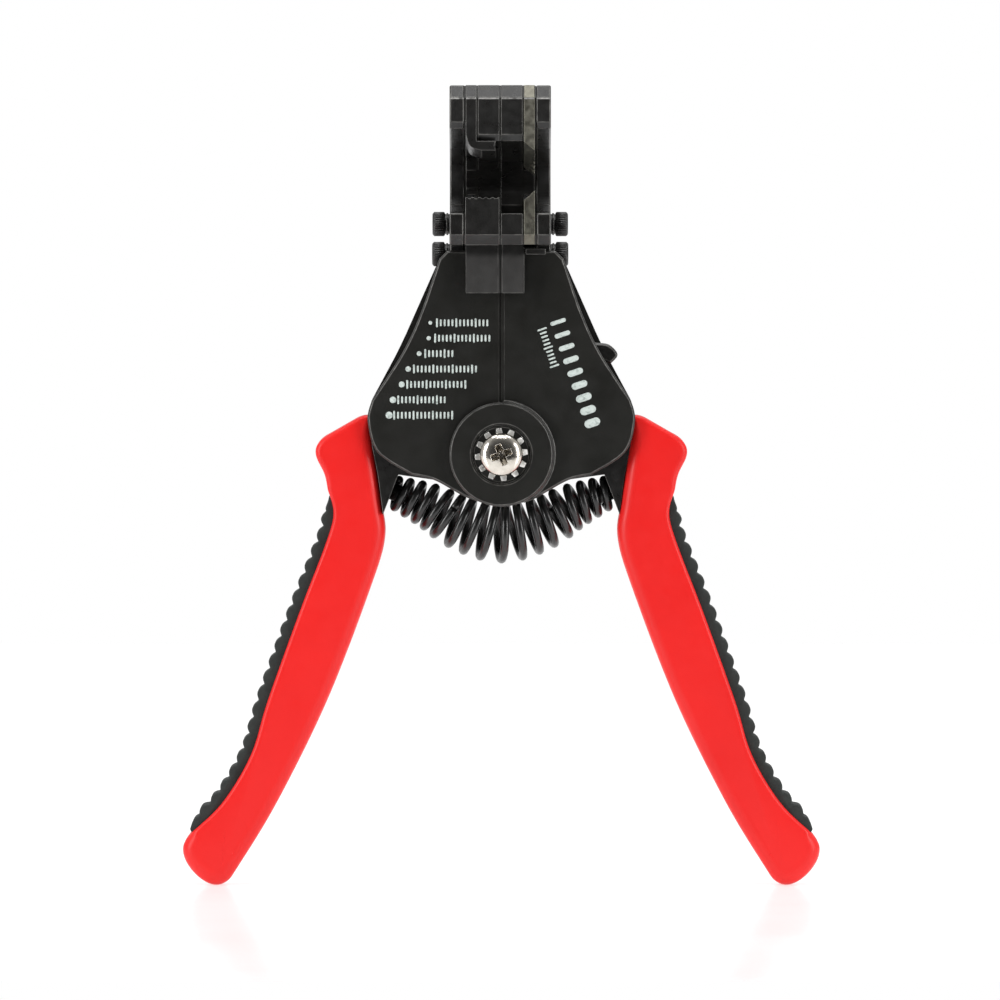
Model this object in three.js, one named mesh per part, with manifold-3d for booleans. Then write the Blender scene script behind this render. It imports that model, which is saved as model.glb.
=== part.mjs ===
// Self-adjusting wire stripper: two hinged frame halves, two levers that close a pair of upper jaws
// and then spread the frame halves, so that one half grips the wire and the other pulls its jacket off.
// Millimetres, +Z up, X to the right, the front of the tool faces -Y, the handle tips stand on Z = 0.
import * as THREE from 'three';
import { mergeVertices } from 'three/addons/utils/BufferGeometryUtils.js';
import Module from 'manifold-3d';

const wasm = await Module();
wasm.setup();

// ---- driving dimensions ------------------------------------------------------------------------
const LEFT = -1;
const RIGHT = 1;
const gap = 0.3;                  // air left between neighbouring pieces
const pivotZ = 96;                // height of the main pivot
const headMiddle = -0.25;         // X of the split between the two jaws

// Layers of the frame, measured from the middle plane Y = 0.
const plateInner = 7.9;
const plateOuter = 9.4;
const discInner = 9.7;
const discOuter = 11.7;
const discFloor = 10.9;           // bottom of the recess round the pivot screw
const plateTop = 141.2;

// Radii round the main pivot.
const lobeRadius = 10;
const discRadius = 11.6;
const recessRadius = 6.5;
const pivotHole = 2.75;
const sleeveRadius = 4;
const eyeRadius = 7.6;

// Head: the upper jaws turn about a left-right pin at (hingeY, hingeZ).
const hingeY = 12;
const hingeZ = 147;
const hingeEye = 5.4;
const jawFront = -19;
const jawOpenAngle = THREE.MathUtils.degToRad(16.5);
const screwRadius = 1.45;
const screwHole = screwRadius + gap;
const spreadRelief = THREE.MathUtils.degToRad(23);

// Columns of the head, as distances from headMiddle: [inner face, outer face].
const column = { block: [0.2, 4.95], leaf: [5.25, 7.65], arm: [7.95, 11.25], cheek: [8.05, 11.25] };

// Handles.
const gripHalf = 7.5;             // half the depth of a grip
const inlayHalf = 6.2;
const tangHalf = 3;
const toothCount = 21;
const toothHeight = 1.3;
const inlayBase = 0.9;            // thickness of an inlay under its teeth
const inlayEnd = 0.3;             // thickness that is left at its two ends
const taperRate = 8;              // one over the part of its length in which it thins out

// Handle spring.
const coilTurns = 17;
const coilWire = 0.95;            // radius of its wire
const coilEnd = 2.95;             // radius of its coils at the ends
const coilSwell = 2.85;           // how much wider they are in the middle

// ---- materials ---------------------------------------------------------------------------------
const material = (color, roughness, metalness) =>
  new THREE.MeshStandardMaterial({ color, roughness, metalness });
const blackPaint = material('#22211e', 0.5, 0.2);
const blackSteel = material('#1f1e1c', 0.4, 0.8);
const groundSteel = material('#5b5950', 0.35, 0.9);
const zincSteel = material('#c9c7c0', 0.25, 1);
const springSteel = material('#141413', 0.35, 0.7);
const redPlastic = material('#f02a2a', 0.4, 0);
const greyRubber = material('#3a3f3f', 0.8, 0);

// ---- solids ------------------------------------------------------------------------------------
function toSolid(geometry) {
  const plain = geometry.clone();
  plain.deleteAttribute('normal');
  plain.deleteAttribute('uv');
  const merged = mergeVertices(plain, 1e-4);
  const vertProperties = new Float32Array(merged.attributes.position.array);
  const triVerts = new Uint32Array(merged.index.array);
  return new wasm.Manifold(new wasm.Mesh({ numProp: 3, vertProperties, triVerts }));
}

function toGeometry(solid) {
  const { numProp, vertProperties, triVerts } = solid.getMesh();
  const geometry = new THREE.BufferGeometry();
  const places = new Float32Array(vertProperties.length / numProp * 3);
  for (let i = 0; i < places.length; i += 1) {
    places[i] = vertProperties[Math.floor(i / 3) * numProp + i % 3];
  }
  geometry.setAttribute('position', new THREE.BufferAttribute(places, 3));
  geometry.setIndex(new THREE.BufferAttribute(new Uint32Array(triVerts), 1));
  geometry.computeVertexNormals();
  return geometry;
}

const join = (...solids) => solids.reduce((whole, piece) => whole.add(piece));
const cut = (solid, ...tools) => tools.reduce((left, tool) => left.subtract(tool), solid);

// A closed outline from a start point and runs: [x, z] is a straight line to that point,
// [[x, z], [x, z], ...] a smooth curve through those points. side mirrors it.
function outline(side, start, ...runs) {
  const shape = new THREE.Shape();
  const place = ([across, up]) => new THREE.Vector2(side * across, up);
  shape.moveTo(side * start[0], start[1]);
  for (const run of runs) {
    if (Array.isArray(run[0])) shape.splineThru(run.map(place));
    else shape.lineTo(side * run[0], run[1]);
  }
  return shape;
}

function disc(across, up, radius) {
  const shape = new THREE.Shape();
  shape.absarc(across, up, radius, 0, 2 * Math.PI);
  return shape;
}

function extrude(shape, depth, bevel, curveSegments) {
  const settings = { depth: depth - 2 * bevel, curveSegments, bevelEnabled: bevel > 0 };
  Object.assign(settings, { bevelThickness: bevel, bevelSize: bevel, bevelOffset: -bevel });
  Object.assign(settings, { bevelSegments: bevel > 1 ? 3 : 1 });
  return new THREE.ExtrudeGeometry(shape, settings).translate(0, 0, bevel);
}

// A plate whose outline lies in X and Z, between two places on Y.
function plate(shape, yFront, yBack, bevel = 0, curveSegments = 6) {
  const geometry = extrude(shape, yBack - yFront, bevel, curveSegments).rotateX(Math.PI / 2);
  return toSolid(geometry.translate(0, yBack, 0));
}

// A slab whose outline lies in Y and Z, in one column of the head on one side of its middle.
function slab(shape, side, [inner, outer], bevel = 0, curveSegments = 6) {
  const toHead = new THREE.Matrix4().makeBasis(
    new THREE.Vector3(0, 1, 0), new THREE.Vector3(0, 0, 1), new THREE.Vector3(1, 0, 0));
  const geometry = extrude(shape, outer - inner, bevel, curveSegments).applyMatrix4(toHead);
  const start = side === RIGHT ? headMiddle + inner : headMiddle - outer;
  return toSolid(geometry.translate(start, 0, 0));
}

const frameRod = (across, up, radius, yFront, yBack, segments = 5) =>
  plate(disc(across, up, radius), yFront, yBack, 0, segments);
const headRod = (side, y, z, radius, span, segments = 5) =>
  slab(disc(y, z, radius), side, span, 0, segments);

function box(x0, x1, y0, y1, z0, z1) {
  const geometry = new THREE.BoxGeometry(x1 - x0, y1 - y0, z1 - z0);
  return toSolid(geometry.translate((x0 + x1) / 2, (y0 + y1) / 2, (z0 + z1) / 2));
}

function headBox(side, [inner, outer], y0, y1, z0, z1) {
  const ends = [headMiddle + side * inner, headMiddle + side * outer].sort((a, b) => a - b);
  return box(...ends, y0, y1, z0, z1);
}

// ---- frame halves ------------------------------------------------------------------------------
const plateCurve = 7;             // fineness of the curves in a plate's outline
const discCurve = 22;             // and of the circles round the pivot

// Outline of one frame half, without its part round the pivot. fuller widens its upper flank.
function frameOutline(side, fuller) {
  return outline(side, [gap / 2, plateTop], [12, plateTop],
    [[13.8, 139.4]],
    [[17.8 + fuller, 127.6], [22 + fuller, 118.5], [28.8, 108]],
    [[29.7, 103.4], [27.5, 96.4], [20, 91.4]],
    [[14.8, 90.2], [7.3, 86.2], [gap / 2, 84.3]]);
}

// The wedge under the pivot that is cut away, so that the halves can spread.
function spreadWedge(side) {
  const reach = 2 * lobeRadius;
  return outline(side, [-gap, pivotZ], [reach * Math.tan(spreadRelief), pivotZ - reach],
    [-gap, pivotZ - reach]);
}

// The plate that carries the flat lobe; the other half's disc lies over it.
function lobePlate(side, fuller, yFront, yBack) {
  const flat = plate(frameOutline(side, fuller), yFront, yBack, 0, plateCurve);
  const lobe = frameRod(0, pivotZ, lobeRadius, yFront, yBack, discCurve);
  const relieved = cut(flat, plate(spreadWedge(side), yFront - 1, yBack + 1));
  return cut(join(relieved, lobe), frameRod(0, pivotZ, pivotHole, yFront - 1, yBack + 1));
}

// The plate whose disc is set outward over the other half's lobe. facing is -1 at the front.
function discPlate(side, fuller, facing) {
  const layer = (near, far) => [near * facing, far * facing].sort((a, b) => a - b);
  const flat = plate(frameOutline(side, fuller), ...layer(plateInner, plateOuter), 0, plateCurve);
  const clear = frameRod(0, pivotZ, lobeRadius + gap, -discOuter, discOuter, discCurve);
  const cover = frameRod(0, pivotZ, discRadius, ...layer(discInner, discOuter), discCurve);
  const collar = frameRod(0, pivotZ, discRadius, ...layer(plateInner, discOuter), discCurve);
  const half = box(...[gap / 2, side * 2 * lobeRadius].sort((a, b) => a - b),
    -discOuter - 1, discOuter + 1, pivotZ - 2 * lobeRadius, pivotZ + 2 * lobeRadius);
  const rim = cut(collar, clear).intersect(half);
  const relief = plate(spreadWedge(side), ...layer(plateInner - 1, discInner - 0.01));
  const recess = frameRod(0, pivotZ, recessRadius, ...layer(discFloor, discOuter + 1), discCurve);
  const hole = frameRod(0, pivotZ, pivotHole, -discOuter - 1, discOuter + 1);
  return cut(join(cut(flat, clear), rim, cover), relief, recess, hole);
}

const windowBottom = 126;

// Openings at the top of the rear plates, where the tails of the jaw arms pass through.
function tailWindow(side) {
  const [inner, outer] = column.arm;
  return headBox(side, [inner - 0.4, outer + 0.6], plateInner - 1, plateOuter + 1,
    windowBottom, plateTop + 1);
}

const rearFuller = 1.2;           // how much wider the upper flanks of the rear plates are

const frontPlates = {
  left: () => lobePlate(LEFT, 0, -plateOuter, -plateInner),
  right: () => discPlate(RIGHT, 0, -1),
};
const rearPlates = {
  left: () => cut(discPlate(LEFT, rearFuller, 1), tailWindow(LEFT)),
  right: () => cut(lobePlate(RIGHT, rearFuller, plateInner, plateOuter), tailWindow(RIGHT)),
};

const postX = 17;
const postZ = 113;
const postRadius = 2;
const waistDepth = 0.8;
const spacerX = 14.6;
const spacerZ = 130;
const spacerRadius = 1.6;
const innerHalf = plateInner - gap;

// Post that one end of the frame spring hooks on, with a waist where the hook lies.
function springPost(side) {
  const post = frameRod(side * postX, postZ, postRadius, -innerHalf, innerHalf);
  const waist = cut(frameRod(side * postX, postZ, postRadius + 1, -1, 1),
    frameRod(side * postX, postZ, postRadius - waistDepth, -2, 2));
  return cut(post, waist);
}

const spacer = (side) => frameRod(side * spacerX, spacerZ, spacerRadius, -innerHalf, innerHalf);

// ---- pivot hardware ----------------------------------------------------------------------------
// A solid turned about the main pivot; profile points are [radius, distance along Y].
function turned(profile, segments = 24) {
  const points = profile.map(([radius, along]) => new THREE.Vector2(radius, along));
  const geometry = new THREE.LatheGeometry(points, segments);
  return toSolid(geometry.translate(0, 0, pivotZ));
}

const headBase = -12.2;           // Y of the underside of the screw's head
const headHeight = 2.5;
const headRadius = 4.8;
const shankRadius = 2.35;
const shankEnd = 16.6;
const shankChamfer = 0.5;
const crossArm = [4.6, 3, 1];     // length, depth and width of one arm of the cross recess

function pivotScrew() {
  const dome = [[0, headBase - headHeight], [2.6, headBase - 2.2], [4.2, headBase - 1.3],
    [headRadius, headBase - 0.4], [headRadius, headBase]];
  const body = turned([...dome, [shankRadius, headBase], [shankRadius, shankEnd - shankChamfer],
    [shankRadius - shankChamfer, shankEnd], [0, shankEnd]]);
  const armOf = (turn) => {
    const bar = new THREE.BoxGeometry(...crossArm).rotateY(turn);
    return toSolid(bar.translate(0, headBase - headHeight, pivotZ));
  };
  const tilt = THREE.MathUtils.degToRad(20);
  return cut(body, armOf(tilt), armOf(tilt + Math.PI / 2));
}

const washerTeeth = 12;
const washerThickness = 0.7;
// Corners of one washer tooth: [radius, angle from the tooth's middle in radians].
const toothCorners = [[4.7, -0.2], [5.9, -0.13], [5.9, 0.13], [4.7, 0.2]];

function starWasher() {
  const corners = [];
  for (let i = 0; i < washerTeeth; i += 1) {
    const middle = i * 2 * Math.PI / washerTeeth;
    for (const [radius, offset] of toothCorners) {
      const angle = middle + offset;
      corners.push([radius * Math.cos(angle), pivotZ + radius * Math.sin(angle)]);
    }
  }
  const front = headBase + gap;
  const ring = plate(outline(1, ...corners), front, front + washerThickness);
  return cut(ring, frameRod(0, pivotZ, pivotHole, headBase, headBase + 2));
}

function ringAtPivot(inner, outer, yFront, yBack) {
  const ring = frameRod(0, pivotZ, outer, yFront, yBack, 8);
  return cut(ring, frameRod(0, pivotZ, inner, yFront - 1, yBack + 1, 8));
}

const rearWasher = { radius: 5.4, front: 11.2, back: 11.9 };
const nut = { radius: 4.6, height: 4, middle: 14 };

function pivotNut() {
  const hexagon = new THREE.CylinderGeometry(nut.radius, nut.radius, nut.height, 6);
  const bore = frameRod(0, pivotZ, shankRadius + gap, nut.middle - nut.height, nut.middle + nut.height);
  return cut(toSolid(hexagon.translate(0, nut.middle, pivotZ)), bore);
}

// ---- lower jaws --------------------------------------------------------------------------------
const lowerBottom = 142.6;
const bevelTop = 144.8;           // upper end of the bevel along the front lower edge
const mouthBack = 1;              // Y of the back of the lower jaws' front part
const clampY = -2;                // place of the clamp screws
const clampZ = 140.4;
const lugTop = 149.4;
const gripTop = 153.1;            // top of the left block, which the ridges are cut into
const rightTop = 149.5;
const rootStart = 0.45;           // where the tongue and the leg start beside the middle
const rightRoots = 5.1;           // the right block's roots end here, beside the blade
const leg = { front: -12.4, back: -9.8, bottom: 131.8 };
const tongue = { front: -7.5, back: 2, bottom: 134 };

// Side view of a lower jaw piece, with its front lower edge bevelled off.
const lowerSide = (top, back) => outline(1, [jawFront, top], [back, top], [back, lowerBottom],
  [jawFront + bevelTop - lowerBottom, lowerBottom], [jawFront, bevelTop]);

const bridgeBack = 5.5;
const eyeCurve = 12;              // fineness of the hinge eyes
const hingeBore = (side, from) => headRod(side, hingeY, hingeZ, screwHole, [from, 13]);

// The hinge lug, in the column of the leaf, and the bridge that ties it to the block.
function hingeLug(side) {
  const web = outline(1, [mouthBack + gap, lowerBottom], [hingeY, hingeZ - hingeEye],
    [hingeY, hingeZ + hingeEye], [mouthBack + gap, lugTop]);
  const eye = headRod(side, hingeY, hingeZ, hingeEye, column.leaf, eyeCurve);
  const bridge = headBox(side, [column.block[0], column.leaf[1]], mouthBack + gap - 1, bridgeBack,
    lowerBottom, lugTop);
  return cut(join(slab(web, side, column.leaf), eye, bridge), hingeBore(side, -1));
}

// The part of a block that goes down behind the front plate, and the leg in front of it.
function blockRoots(side) {
  const legEnd = side === LEFT ? column.leaf[1] : column.leaf[0] + 0.1;
  const inside = headBox(side, [rootStart, column.leaf[1]], tongue.front, tongue.back, tongue.bottom,
    lowerBottom + 1);
  const outside = headBox(side, [rootStart, legEnd], leg.front, leg.back, leg.bottom, lowerBottom + 1);
  return cut(join(inside, outside), headRod(side, clampY, clampZ, screwHole, [2, 13]));
}

const groove = { count: 5, pitch: 1.45, start: 1, radius: 0.6, rise: 0.25 };

function leftLowerBlock() {
  const block = slab(lowerSide(gripTop, mouthBack), LEFT, [column.block[0], column.leaf[1] + 0.1]);
  const grooves = Array.from({ length: groove.count }, (_, i) => {
    const across = headMiddle - groove.start - i * groove.pitch;
    return plate(disc(across, gripTop + groove.rise, groove.radius), jawFront - 1, mouthBack + 1, 0, 3);
  });
  return join(cut(block, ...grooves), hingeLug(LEFT), blockRoots(LEFT));
}

function rightLowerBlock() {
  const block = slab(lowerSide(rightTop, mouthBack), RIGHT, column.block);
  const bladeRoom = (from, bottom) =>
    headBox(RIGHT, [rightRoots, 9], from, mouthBack + gap, bottom, rightTop + 2.5);
  return join(block, cut(hingeLug(RIGHT), bladeRoom(mouthBack - 4, clampZ)),
    cut(blockRoots(RIGHT), bladeRoom(jawFront - 1, lowerBottom - 0.6)));
}

const cheekTop = 149.6;
const cheekTab = { front: -5, back: 2, bottom: 137.4 };

function lowerCheek(side) {
  const tab = headBox(side, column.cheek, cheekTab.front, cheekTab.back, cheekTab.bottom,
    lowerBottom + 1);
  const cheek = join(slab(lowerSide(cheekTop, mouthBack), side, column.cheek), tab);
  return cut(cheek, headRod(side, clampY, clampZ, screwHole, [6, 13]));
}

const edgeZ = 154.8;              // height where the two blades' edges meet
const edgeGap = 0.4;
const bladeAcross = [5, 7.4];     // X of the blades' inner and outer face
const bladeSpan = [4, 9];         // a column with room for the blades
const notchRadii = [0.5, 0.7, 0.9, 1.1, 1.35];
const notchStart = -16;
const notchPitch = 3.6;

// Wire notches along a blade, from fine to coarse, cut as round grooves across its edge.
const wireNotches = () => notchRadii.map((radius, i) =>
  headRod(RIGHT, notchStart + i * notchPitch, edgeZ, radius, bladeSpan, 4));

function lowerBlade() {
  const sharp = edgeZ - edgeGap / 2;
  const [inner, outer] = bladeAcross;
  const shape = outline(1, [inner, lowerBottom], [outer, lowerBottom], [outer, sharp],
    [inner, sharp - 2.2]);
  const trim = slab(lowerSide(edgeZ + 3.2, mouthBack), RIGHT, bladeSpan);
  return cut(plate(shape, jawFront, 2).intersect(trim), ...wireNotches());
}

// Small bar on the side of the right leg, against which the end of the wire is pushed.
const stopBar = { inner: 5.4, outer: 9.8, front: -13.5, bottom: 140.4, top: 141.7 };
const wireStop = () =>
  box(stopBar.inner, stopBar.outer, stopBar.front, leg.back, stopBar.bottom, stopBar.top);

// ---- head screws -------------------------------------------------------------------------------
const cap = { radius: 2.75, base: 12.35, top: 15.15 };
const socket = { radius: 1.35, length: 2.4, middle: 14.5 };
const washer = { radius: 2.6, inner: 11.6, outer: 12.05 };

const hingeReach = 0.4;
const clampReach = 2.4;

// Socket-head screw through the head from one side; reach is where its shank ends.
function capScrew(side, y, z, reach) {
  const head = headRod(side, y, z, cap.radius, [cap.base, cap.top], 6);
  const shank = headRod(side, y, z, screwRadius, [reach, cap.base + 0.05]);
  const hexagon = new THREE.CylinderGeometry(socket.radius, socket.radius, socket.length, 6)
    .rotateZ(Math.PI / 2).translate(headMiddle + side * socket.middle, y, z);
  return cut(join(head, shank), toSolid(hexagon));
}

const springWasher = (side, y, z) => cut(
  headRod(side, y, z, washer.radius, [washer.inner, washer.outer]),
  headRod(side, y, z, screwHole, [washer.inner - 0.6, washer.outer + 0.95]));

// ---- upper jaws --------------------------------------------------------------------------------
// They are drawn closed and then turned open about the hinge pin.
const closedTop = 170.5;
const topBevel = [1.2, 3.2];      // of the front upper edge, along Y and Z
const pinY = -6;                  // place of the pins that hold gripper and blade
const pinZ = 165;
const pinRadius = 1.2;
const pinHole = pinRadius + gap;
const armBottom = 160.4;          // lower face of the front part of a jaw arm
const blockBottom = 157.5;        // and of a jaw block

function openJaw(solid) {
  const turn = new THREE.Matrix4().makeTranslation(0, hingeY, hingeZ)
    .multiply(new THREE.Matrix4().makeRotationX(-jawOpenAngle))
    .multiply(new THREE.Matrix4().makeTranslation(0, -hingeY, -hingeZ));
  return toSolid(toGeometry(solid).applyMatrix4(turn));
}

// The curved beak in side view; bottom is the height of its front part's lower face.
const beak = (bottom) => outline(1, [jawFront, closedTop - topBevel[1]],
  [jawFront + topBevel[0], closedTop], [4, closedTop],
  [[13, 165.8], [16, 157], [hingeY + hingeEye, hingeZ]], [hingeY, hingeZ - 1],
  [hingeY - 4.6, hingeZ + 2],
  [[8, 153.5], [4.5, bottom - 2], [-2, bottom]], [jawFront + 1.2, bottom], [jawFront, bottom + 1.2]);

// Side view that trims the front of a gripper or blade to the line of the beak.
const beakFront = (back) => outline(1, [jawFront, closedTop - topBevel[1]],
  [jawFront + topBevel[0], closedTop], [back, closedTop], [back, 150], [jawFront, 150]);

// The tail under the hinge, which the lever's nose pushes back.
const tail = () => outline(1, [hingeY - 3.6, hingeZ - 2], [hingeY - 15.4, 128],
  [hingeY - 12, 126.5], [hingeY + 3, hingeZ - 3]);

const pinBore = (side, span) => headRod(side, pinY, pinZ, pinHole, span);

function jawArm(side) {
  const eye = headRod(side, hingeY, hingeZ, hingeEye, column.arm, eyeCurve);
  const arm = join(slab(beak(armBottom), side, column.arm), eye);
  const follower = cut(slab(tail(), side, column.arm), hingeBore(side, 6));
  return join(openJaw(cut(arm, hingeBore(side, 6), pinBore(side, [6, 10.2]))), follower);
}

const springRoom = { radius: 3.5, depth: 2.9 };   // pocket of the jaw spring

function jawBlock(side) {
  const eye = headRod(side, hingeY, hingeZ, hingeEye, column.block, eyeCurve);
  const wall = slab(beak(blockBottom), side, [column.block[1] - 1, column.leaf[1]]);
  const wallRoom = headBox(side, [0, 9], mouthBack + 2 * gap, 20, hingeZ + hingeEye + gap,
    closedTop + 1);
  const block = join(slab(beak(blockBottom), side, column.block), eye, wall.intersect(wallRoom));
  const pocket = headRod(side, hingeY, hingeZ, springRoom.radius, [-1, springRoom.depth]);
  return openJaw(cut(block, hingeBore(side, -1), pocket, pinBore(side, [1.5, 13])));
}

const jawPin = (side) => openJaw(headRod(side, pinY, pinZ, pinRadius, [1.8, 9.9]));

const footBottom = 155;
const footTop = 157.2;
const footDepth = 6.5;            // how far the gripper's foot goes back from its front

// L-shaped gripper: a leaf with a bent foot, whose end is notched for thin wires.
function upperGripper() {
  const shape = outline(-1, [5.5, closedTop + 1], [5.5, footTop], [1.2, footTop], [1.6, 156.1],
    [1.2, footBottom], [4.4, footBottom], [[6.9, 156], [7.9, 158.6]], [7.9, closedTop + 1]);
  const leaf = plate(shape, jawFront, 2).intersect(slab(beakFront(-2), LEFT, [0, 9]));
  const behindFoot = headBox(LEFT, [0, 9], jawFront + footDepth, 0, footBottom - 5, footTop + 1.4);
  return openJaw(cut(leaf, behindFoot, pinBore(LEFT, bladeSpan)));
}

function upperBlade() {
  const sharp = edgeZ + edgeGap / 2;
  const [inner, outer] = bladeAcross;
  const shape = outline(1, [inner, closedTop + 1], [outer, closedTop + 1], [outer, sharp],
    [inner, sharp + 2]);
  const trim = slab(beakFront(mouthBack), RIGHT, bladeSpan);
  return openJaw(cut(plate(shape, jawFront, 2).intersect(trim), ...wireNotches(),
    pinBore(RIGHT, bladeSpan)));
}

// ---- handles -----------------------------------------------------------------------------------
// Flat outline of a lever's flanges: the arm to the grip and the nose above the pivot.
const leverArm = (side) => outline(side, [0, pivotZ + 6.5], [8, 104], [22, 105.5], [29.4, 103],
  [[28.7, 97.6], [27.4, 90.8], [26.3, 82.5]], [22.9, 91.4], [8, 89.3], [0, pivotZ - 6.5]);
const leverNose = (side) => outline(side, [-3, pivotZ + 4], [3.4, 124], [7.6, 124], [7, pivotZ + 4]);
const leverWall = (side) => outline(side, [21.6, 95], [21.6, 105.4], [22, 105.5], [29.4, 103],
  [[28.7, 97.6], [27.4, 90.8], [26.3, 82.5]], [22.9, 91.4]);

// The tang inside the grip; grow gives the pocket round it.
const tangOutline = (side, grow) => outline(side, [25.6 - 5 * grow, 100.6 + grow],
  [34 + grow, 98.6 + grow], [35.1 + grow, 84], [40.6 + grow, 68], [53.6 + grow, 30],
  [52.6 + grow, 24.6 - grow], [49.4 - grow, 26.4 - grow], [34.2 - grow, 64],
  [29.4 - grow, 80 - grow], [25.6 - 5 * grow, 86 - grow]);

const cam = { inner: 3.6, outer: 7.2, bottom: 123, height: 5 };
const flangeThickness = 1.5;

// Cam on the nose: its slanted face pushes the jaw tail back as the nose swings outward.
function noseCam(side, flange) {
  const top = outline(side, [cam.inner, -flange], [cam.outer, -flange], [cam.outer, -cam.inner],
    [cam.inner, 0]);
  const block = new THREE.ExtrudeGeometry(top, { depth: cam.height, bevelEnabled: false });
  return toSolid(block.translate(0, 0, cam.bottom));
}

// flangeIn is the distance of the two flanges from the middle plane.
function lever(side, flangeIn) {
  const flangeOut = flangeIn + flangeThickness;
  const flange = (yFront, yBack) => join(plate(leverArm(side), yFront, yBack),
    plate(leverNose(side), yFront, yBack), frameRod(0, pivotZ, eyeRadius, yFront, yBack, 8));
  const flanges = join(flange(-flangeOut, -flangeIn), flange(flangeIn, flangeOut));
  const wall = plate(leverWall(side), -flangeOut, flangeOut);
  const tang = plate(tangOutline(side, 0), -tangHalf, tangHalf);
  const bore = frameRod(0, pivotZ, sleeveRadius + gap, -flangeOut - 1, flangeOut + 1, 8);
  return cut(join(flanges, wall, tang, noseCam(side, flangeOut)), bore);
}

// The edge where a grip meets its inlay, from the shoulder down to the tip.
const inlayEdge = [[37.3, 83], [38.9, 76.5], [44.9, 60.8], [52, 41], [55.7, 29.1], [62, 18.5],
  [69.1, 11.9]];

const gripOutline = (side) => outline(side, [30.4, 104.1],
  [[29.2, 97.6], [27, 85.7], [25.9, 77.3], [29.2, 65.9], [38.8, 41], [50, 18.3], [58.8, 3.8],
    [63.4, -0.17], [68.9, 3.1], [71, 7.6], [69.1, 11.6]],
  [[62, 18.5], [55.7, 29.1], [52, 41], [44.9, 60.8], [38.9, 76.5], [37.3, 83], [38.6, 88]],
  [[39.3, 91.5], [41.4, 96.8], [38.2, 100.5]]);

const gripRounding = 1.8;

function grip(side) {
  const body = plate(gripOutline(side), -gripHalf, gripHalf, gripRounding, 2);
  return cut(body, plate(tangOutline(side, gap), -tangHalf - gap, tangHalf + gap));
}

// Rounded teeth standing out from the edge of the grip.
function gripInlay(side) {
  const edge = new THREE.SplineCurve(inlayEdge.map(([x, z]) => new THREE.Vector2(x, z)));
  const stepsPerTooth = 4;
  const steps = toothCount * stepsPerTooth;
  const at = (i, out) => {
    const place = edge.getPointAt(i / steps);
    const along = edge.getTangentAt(i / steps);
    return [place.x - along.y * out, place.y + along.x * out];
  };
  const rise = (i) => Math.abs(Math.sin(Math.PI * i / stepsPerTooth));
  const outer = [];
  const inner = [];
  for (let i = 0; i <= steps; i += 1) {
    const taper = Math.min(1, taperRate * i / steps, taperRate * (steps - i) / steps);
    outer.push(at(i, gap + inlayEnd + taper * (inlayBase + toothHeight * rise(i))));
    if (i % stepsPerTooth === 0) inner.unshift(at(i, gap));
  }
  const [start, ...rest] = [...outer, ...inner];
  return plate(outline(side, start, ...rest), -inlayHalf, inlayHalf);
}

const seat = { x: 24.05, z: 86.85, angle: THREE.MathUtils.degToRad(20) };
const seatDisc = { radius: 3.6, thickness: 0.9 };
const seatPeg = { radius: 1.6, top: 2.4 };

// Seat of the handle spring on the lever: a washer-like disc with a short peg.
function springSeat(side) {
  const points = [[0, 0], [seatDisc.radius, 0], [seatDisc.radius, seatDisc.thickness],
    [seatPeg.radius, seatDisc.thickness], [seatPeg.radius, seatPeg.top], [0, seatPeg.top]];
  const geometry = new THREE.LatheGeometry(points.map(([r, h]) => new THREE.Vector2(r, h)), 16);
  geometry.rotateZ(Math.PI / 2).rotateY(-seat.angle).translate(seat.x, 0, seat.z);
  const solid = toSolid(geometry);
  return side === RIGHT ? solid : solid.mirror([1, 0, 0]);
}

// ---- springs -----------------------------------------------------------------------------------
// A helix of wire laid round a middle line in the X-Z plane.
class Coil extends THREE.Curve {
  constructor(middle, turns, radiusAt) {
    super();
    Object.assign(this, { middle, turns, radiusAt });
  }

  getPoint(t, target = new THREE.Vector3()) {
    const place = this.middle.getPointAt(t);
    const along = this.middle.getTangentAt(t);
    const angle = 2 * Math.PI * this.turns * t;
    const out = this.radiusAt(t) * Math.cos(angle);
    return target.set(place.x - along.y * out, this.radiusAt(t) * Math.sin(angle),
      place.y + along.x * out);
  }
}

const wireSides = 6;

function coilSpring(middle, turns, radiusAt, wire, stepsPerTurn) {
  const path = new Coil(middle, turns, radiusAt);
  const corners = Array.from({ length: wireSides }, (_, i) => 2 * Math.PI * i / wireSides)
    .map((angle) => [wire * Math.cos(angle), wire * Math.sin(angle)]);
  const section = outline(1, ...corners);
  const steps = Math.round(turns * stepsPerTurn);
  return toSolid(new THREE.ExtrudeGeometry(section, { steps, extrudePath: path, bevelEnabled: false }));
}

function handleSpring() {
  const middle = new THREE.SplineCurve([[-21.7, 86.6], [-16, 84.2], [-9.2, 80.6], [0, 78.4],
    [9.2, 80.6], [16, 84.2], [21.7, 86.6]].map(([x, z]) => new THREE.Vector2(x, z)));
  const barrel = (t) => coilEnd + coilSwell * Math.sin(Math.PI * t);
  return coilSpring(middle, coilTurns, barrel, coilWire, 10);
}

const pull = { turns: 14, radius: 2.2, wire: 0.45 };
const opener = { turns: 2.5, radius: 2.5, wire: 0.3, ends: [0.7, 2.4] };

function frameSpring() {
  const reach = postX - postRadius - 0.6;
  const [start, end] = [-reach, reach].map((across) => new THREE.Vector2(across, postZ));
  return coilSpring(new THREE.LineCurve(start, end), pull.turns, () => pull.radius, pull.wire, 8);
}

// Torsion spring round the hinge screw, in the pocket of the jaw block. It opens the upper jaw.
function jawSpring(side) {
  const ends = opener.ends.map((along) => new THREE.Vector2(headMiddle + side * along, hingeZ));
  const middle = new THREE.LineCurve(...ends);
  return coilSpring(middle, opener.turns, () => opener.radius, opener.wire, 10)
    .translate([0, hingeY, 0]);
}

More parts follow.
